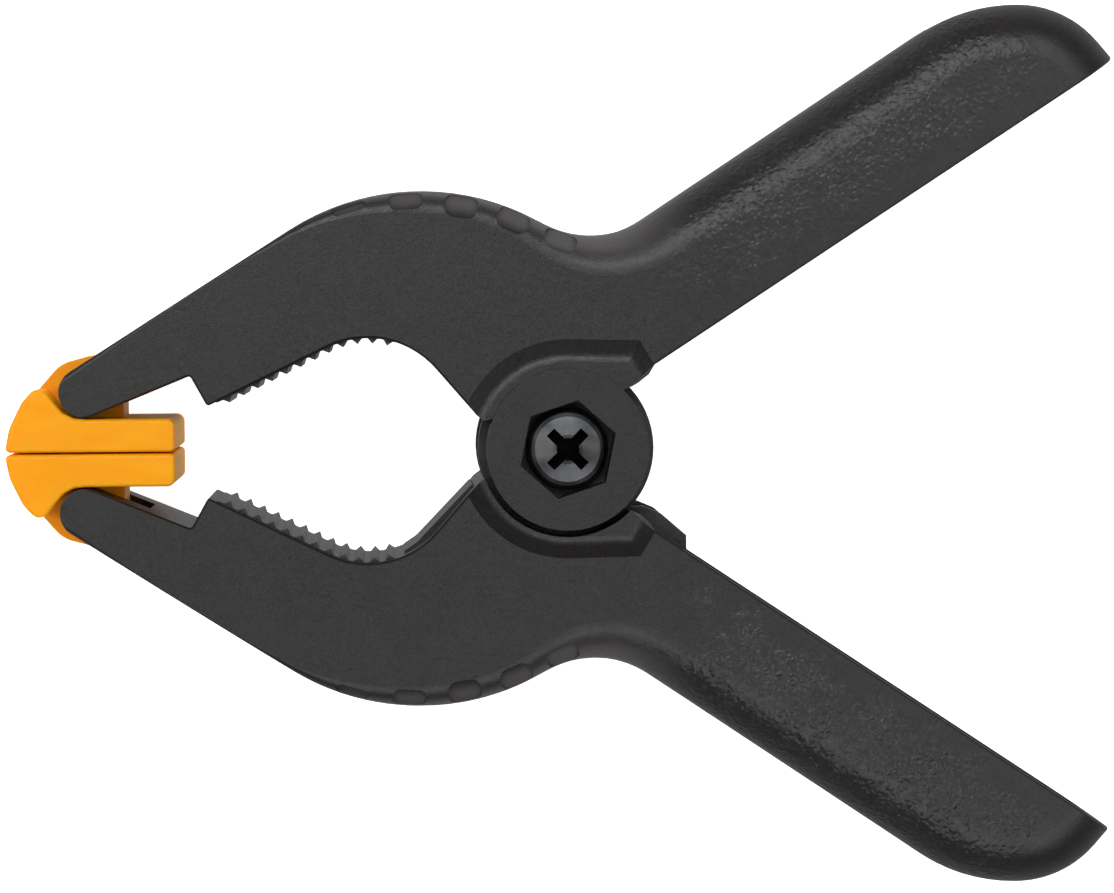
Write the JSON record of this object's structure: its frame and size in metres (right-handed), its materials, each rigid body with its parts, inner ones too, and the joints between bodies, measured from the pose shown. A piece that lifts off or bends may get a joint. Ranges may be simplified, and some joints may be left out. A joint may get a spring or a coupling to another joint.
{
  "type": "spring clamp",
  "caption": "Hand spring clamp with two black moulded plastic arms on a screw pivot, toothed inner jaws, a torsion spring and orange swivelling pads.",
  "frame": {"origin": "on the pivot axis, in the plane of the back pivot disc that the clamp lies on", "axes": "+X towards the handles and -X towards the jaws, +Y towards the upper arm, +Z along the pivot towards the screw head"},
  "size_m": [0.1656, 0.1329, 0.0294],
  "materials": {
    "upper_arm": "matte black glass-filled nylon, leather grain on the handle",
    "lower_arm": "matte black glass-filled nylon, leather grain on the handle",
    "upper_pad": "smooth orange plastic",
    "lower_pad": "smooth orange plastic",
    "torsion_spring": "drawn spring wire, lightly oiled",
    "pivot_sleeve": "plain steel tube",
    "pivot_screw": "dark zinc plated steel",
    "pivot_nut": "zinc plated steel"
  },
  "bodies": {
    "upper_arm": {"upper_arm": "upper_arm", "pivot_sleeve": "pivot_sleeve", "pivot_screw": "pivot_screw", "pivot_nut": "pivot_nut"},
    "lower_arm": {"lower_arm": "lower_arm", "torsion_spring": "torsion_spring"},
    "upper_pad": {"upper_pad": "upper_pad"},
    "lower_pad": {"lower_pad": "lower_pad"}
  },
  "joints": [
    {"name": "jaw_pivot", "type": "hinge", "parent": "upper_arm", "child": "lower_arm", "pos_m": [0, 0, 0.0147], "axis": [0, 0, 1], "range_deg": [0, 42], "stiffness_Nm_per_rad": 3, "springref_deg": -28.65, "deforming": ["torsion_spring"]},
    {"name": "upper_pad_swivel", "type": "hinge", "parent": "upper_arm", "child": "upper_pad", "pos_m": [-0.0713, 0.00895, 0.0147], "axis": [0, 0, 1], "range_deg": [0, 21.5]},
    {"name": "lower_pad_swivel", "type": "hinge", "parent": "lower_arm", "child": "lower_pad", "pos_m": [-0.0713, -0.00895, 0.0147], "axis": [0, 0, 1], "range_deg": [-21.5, 0]}
  ],
  "couplings": [
    {"joint": "upper_pad_swivel", "follows": "jaw_pivot", "ratio": 0.5},
    {"joint": "lower_pad_swivel", "follows": "jaw_pivot", "ratio": -0.5}
  ]
}
